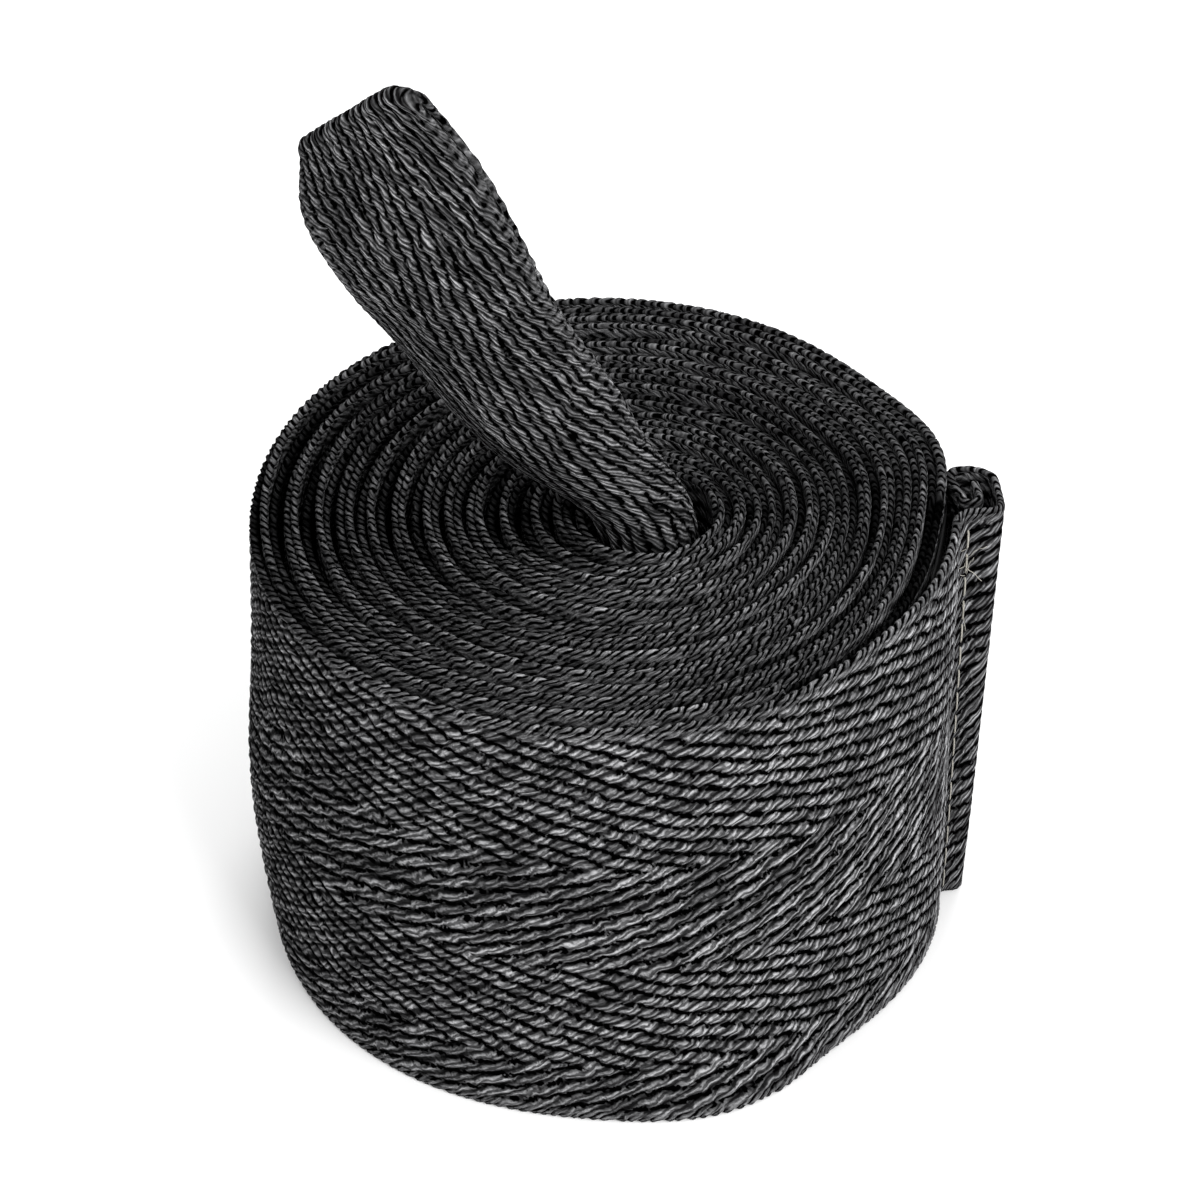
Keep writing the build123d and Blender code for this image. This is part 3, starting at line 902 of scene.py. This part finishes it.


# Cotton yarn, dyed black and woven in a herringbone twill: the crowns of its floats are painted pale and dry,
# partly as wear and partly as a painted highlight, over near-black gaps that are painted shade; each float in
# its own tone, with fibres that break up any shine.
def wovenCotton(name, weave, gap, crown):
    material, tree = newMaterial(name)
    cloth = addNode(tree, "Attribute", output="Vector", attribute_name="cloth")
    s, v, edge = addNode(tree, "SeparateXYZ", [cloth]).node.outputs
    tilt = math.atan(weave["ribSlope"])
    slant = math.radians(weave["floatAngle"])
    perFloat = math.cos(slant) / weave["floatPitch"]
    # ribs run slantwise and turn back at each stripe; floats cross them in rows
    below = addNode(tree, "Math", [v, weave["lastStripe"]], operation="MINIMUM")
    above = addNode(tree, "Math", [v, below], operation="SUBTRACT")
    moved = addNode(tree, "Math", [below, weave["stripeStart"]], operation="SUBTRACT")
    folded = addNode(tree, "Math", [moved, weave["stripe"]], operation="PINGPONG")
    zigzag = addNode(tree, "Math", [folded, above], operation="ADD")
    ribPlace = addNode(tree, "Math", [s, weave["ribSlope"], zigzag], operation="MULTIPLY_ADD")
    ribCount = addNode(tree, "Math", [ribPlace, math.cos(tilt) / weave["ribPitch"]], operation="MULTIPLY")
    leaning = addNode(tree, "Math", [s, -math.sin(slant) / weave["floatPitch"]], operation="MULTIPLY")
    floatCount = addNode(tree, "Math", [v, perFloat, leaning], operation="MULTIPLY_ADD")
    leaning = addNode(tree, "Math", [v, -weave["edgeSlant"] / weave["edgePitch"]], operation="MULTIPLY")
    loopCount = addNode(tree, "Math", [s, 1 / weave["edgePitch"], leaning], operation="MULTIPLY_ADD")

    def ridge(count):  # 1 on each crown, 0 in the gaps between
        angle = addNode(tree, "Math", [count, 2 * math.pi], operation="MULTIPLY")
        wave = addNode(tree, "Math", [angle], operation="COSINE")
        return addNode(tree, "Math", [wave, 0.5, 0.5], operation="MULTIPLY_ADD")

    # each float holds two strands of yarn, 0.7 mm wide on the band and 0.5 mm on the tape
    wander = addNode(tree, "TexNoise", {"Vector": cloth, "Scale": 1.3, "Detail": 2.0})
    strandFace = addNode(tree, "Math", [floatCount, 2.0, wander], operation="MULTIPLY_ADD")
    strandEdge = addNode(tree, "Math", [loopCount, 2.0, wander], operation="MULTIPLY_ADD")
    ragged = addNode(tree, "TexNoise", {"Vector": cloth, "Scale": 1.9, "Detail": 1.0})
    uneven = addNode(tree, "MapRange", [ragged, 0.25, 0.75, -0.42, 0.42])
    raggedRib = addNode(tree, "Math", [ridge(ribCount), uneven], operation="ADD")
    rope = addNode(tree, "MapRange", [raggedRib, 0.12, 0.8, 0.0, 1.0])
    raggedFloat = addNode(tree, "Math", [ridge(floatCount), uneven], operation="SUBTRACT")
    mound = addNode(tree, "MapRange", [raggedFloat, 0.1, 0.7, 0.12, 1.0])
    face = addNode(tree, "Math", [rope, mound], operation="MULTIPLY")
    raggedLoop = addNode(tree, "Math", [uneven, 0.6, ridge(loopCount)], operation="MULTIPLY_ADD")
    loopTall = addNode(tree, "MapRange", [raggedLoop, 0.25, 0.85, 0.0, 1.0])
    tall = addNode(tree, "Mix", {0: edge, 2: face, 3: loopTall}, data_type="FLOAT")
    edgeStrand = addNode(tree, "MapRange", [ridge(strandEdge), 0.0, 1.0, 0.35, 1.0])
    strand = addNode(tree, "Mix", {0: edge, 2: ridge(strandFace), 3: edgeStrand}, data_type="FLOAT")
    # each float has its own shade, because some yarns are more worn than others
    cells = []
    for count in (ribCount, floatCount, loopCount):
        shifted = addNode(tree, "Math", [count, 0.5], operation="ADD")
        cells.append(addNode(tree, "Math", [shifted], operation="FLOOR"))
    faceCell = addNode(tree, "CombineXYZ", cells[:2])
    loopCell = addNode(tree, "CombineXYZ", [cells[2], 7.0])
    cell = addNode(tree, "Mix", {0: edge, 4: faceCell, 5: loopCell}, 1, data_type="VECTOR")
    shade = addNode(tree, "TexWhiteNoise", {"Vector": cell}, "Value", noise_dimensions="3D")
    # fibres 0.18 mm across, drawn coarser than cotton's 0.015 mm so that they show
    along = addNode(tree, "VectorRotate", {"Vector": cloth, "Angle": -slant}, rotation_type="Z_AXIS")
    stretched = addNode(tree, "Mapping", {"Vector": along, "Scale": (1.0, 5.5, 1.0)})
    fibre = addNode(tree, "TexNoise", {"Vector": stretched, "Scale": 1.0, "Detail": 2.0})
    patch = addNode(tree, "TexNoise", {"Vector": cloth, "Scale": 0.12, "Detail": 3.0})
    paintedLightAndWear = addNode(tree, "Attribute", output="Fac", attribute_name="wearAndPaintedLight")
    wornAndPaintedLight = tall
    for part, fromLow, fromHigh, toLow, toHigh in (
        (strand, 0.22, 0.9, 0.12, 1.0),
        (fibre, 0.32, 0.68, 0.25, 1.3),
        (shade, 0.0, 1.0, 0.3, 1.3),
        (patch, 0.3, 0.7, 0.7, 1.2),
    ):
        share = addNode(tree, "MapRange", [part, fromLow, fromHigh, toLow, toHigh])
        wornAndPaintedLight = addNode(tree, "Math", [wornAndPaintedLight, share], operation="MULTIPLY")
    wornAndPaintedLight = addNode(tree, "Math", [wornAndPaintedLight, paintedLightAndWear], operation="MULTIPLY", use_clamp=True)
    # painted light: the crowns of floats and strands are painted pale as a highlight, partly wear, and the
    # gaps between them near-black as painted shade
    paleness = addNode(tree, "Math", [wornAndPaintedLight, 0.78], operation="POWER")
    tones = {0: paleness, 6: linear(gap), 7: linear(crown)}
    height = addNode(tree, "Math", [strand, 0.35, tall], operation="MULTIPLY_ADD")
    surface = {
        "Base Color": addNode(tree, "Mix", tones, 2, data_type="RGBA"),
        "Roughness": addNode(tree, "MapRange", [wornAndPaintedLight, 0.0, 1.0, 0.95, 0.6]),
        "Normal": addNode(tree, "Bump", {"Height": height, "Strength": 0.7, "Distance": 0.00025}),
        "IOR": 1.47,
        "Specular IOR Level": addNode(tree, "MapRange", [wornAndPaintedLight, 0.0, 0.6, 0.0, 0.3]),
    }
    shader = addNode(tree, "BsdfPrincipled", surface)
    addNode(tree, "OutputMaterial", {"Surface": shader})
    return material


# Drawn or spun thread: nylon keeps a low shine on each thread, cotton and brushed pile are dull, and all are
# painted darker down between the threads, as painted shade. grain is the size of that change, in mm.
def fineThread(name, base, tip, roughness, grain):
    material, tree = newMaterial(name)
    place = addNode(tree, "TexCoord", output="Object")
    noise = addNode(tree, "TexNoise", {"Vector": place, "Scale": 1 / (grain * toMetres), "Detail": 3.0})
    surface = {
        "Base Color": addNode(tree, "Mix", {0: noise, 6: linear(base), 7: linear(tip)}, 2, data_type="RGBA"),
        "Roughness": roughness,
        "IOR": 1.53,
        "Normal": addNode(tree, "Bump", {"Height": noise, "Strength": 0.4, "Distance": 0.0001}),
    }
    shader = addNode(tree, "BsdfPrincipled", surface)
    addNode(tree, "OutputMaterial", {"Surface": shader})
    return material


# painted light: the pale crown colour is a painted highlight, partly wear, and the near-black gap colour is
# painted shade
bandCotton = wovenCotton("black cotton, herringbone woven", bandWeave, "#010101", "#9c9c9e")
tapeCotton = wovenCotton("black cotton tape, herringbone woven", tapeWeave, "#010101", "#a0a0a2")
hookNylon = fineThread("black nylon hooks, drawn", "#0a0a0b", "#1c1c1e", 0.38, 0.4)
pileNylon = fineThread("black nylon pile, brushed", "#0b0b0c", "#2a2a2c", 0.8, 0.4)
blackThread = fineThread("black sewing thread, twisted", "#0c0c0c", "#2e2e2f", 0.7, 0.25)
paleThread = fineThread("undyed cotton thread, spun", "#5f5d58", "#bab6ac", 0.9, 0.25)
for piece, material, slotName in (
    (hookBacking, hookNylon, "hook_nylon"),
    (hooks, hookNylon, "hook_nylon"),
    (pileBacking, pileNylon, "pile_nylon"),
    (pile, pileNylon, "pile_nylon"),
    (hookStitches, blackThread, "black_thread"),
    (pileStitches, blackThread, "black_thread"),
    (tacks, blackThread, "black_thread"),
    (hemThread, paleThread, "pale_thread"),
    (fray, paleThread, "pale_thread"),
):
    piece.data.materials.append(material)
for piece, length in bandPieces:
    piece.data.materials.append(bandCotton)
for piece, length in ((closure, flapArc), (hem, total)):
    piece.data.materials.append(bandCotton)
thumbLoop.data.materials.append(tapeCotton)
print("stage 6: materials are on")

# floor, light and camera, in metres
studio = {
    "floorHalf": 1.6,
    "skyLight": 0.9,
    # each lamp's name, place, aim height, size and watts
    "lamps": [
        ("keyLight", (0.65, -0.8, 0.55), 0.03, 0.7, 15.0),
        ("fillLight", (-0.8, -0.5, 0.5), 0.03, 0.8, 2.0),
        ("backLight", (0.1, 0.7, 0.9), 0.04, 0.6, 5.0),
    ],
    "lens": 172.9,
    "elevation": 39.5,
    "distance": 0.590,
    "target": (-0.00255, 0.0, 0.025),
    "aimAcross": -0.00041,
    "aimUp": 0.01039,
}
h = studio["floorHalf"]
floorMesh = bpy.data.meshes.new("floor")
floorMesh.from_pydata([(-h, -h, 0), (h, -h, 0), (h, h, 0), (-h, h, 0)], [], [(0, 1, 2, 3)])
floor = bpy.data.objects.new("floor", floorMesh)
bpy.context.scene.collection.objects.link(floor)
# matt white paper, with a faint mottle from its pulp
paper, tree = newMaterial("white paper, rolled out")
mottle = addNode(tree, "TexNoise", {"Scale": 40.0})
tone = addNode(tree, "Mix", {0: mottle, 6: linear("#f4f4f4"), 7: linear("#fbfbfb")}, 2, data_type="RGBA")
shader = addNode(tree, "BsdfPrincipled", {"Base Color": tone, "Roughness": 0.9})
addNode(tree, "OutputMaterial", {"Surface": shader})
floorMesh.materials.append(paper)

world = bpy.data.worlds.new("studio")
bpy.context.scene.world = world
world.use_nodes = True
sky = world.node_tree.nodes["Background"]
sky.inputs["Color"].default_value = (1, 1, 1, 1)
sky.inputs["Strength"].default_value = studio["skyLight"]


def pointAt(thing, aim):
    thing.rotation_euler = (aim - thing.location).to_track_quat("-Z", "Y").to_euler()


for name, place, aimHeight, size, watts in studio["lamps"]:
    light = bpy.data.lights.new(name, "AREA")
    light.shape = "SQUARE"
    light.size = size
    light.energy = watts
    lamp = bpy.data.objects.new(name, light)
    bpy.context.scene.collection.objects.link(lamp)
    lamp.location = place
    pointAt(lamp, Vector((0.0, 0.0, aimHeight)))

camera = bpy.data.cameras.new("camera")
camera.lens = studio["lens"]
camera.sensor_width = 36.0
camera.clip_start, camera.clip_end = 0.05, 10.0
view = bpy.data.objects.new("camera", camera)
bpy.context.scene.collection.objects.link(view)
elevation = math.radians(studio["elevation"])
target = Vector(studio["target"])
away = Vector((0, -math.cos(elevation), math.sin(elevation))) * studio["distance"]
upDir = Vector((0, math.sin(elevation), math.cos(elevation)))
view.location = target + away
pointAt(view, target + upDir * studio["aimUp"] + Vector((studio["aimAcross"], 0, 0)))
bpy.context.scene.camera = view
bpy.context.scene.view_settings.view_transform = "Standard"
print("stage 7: the studio is set")
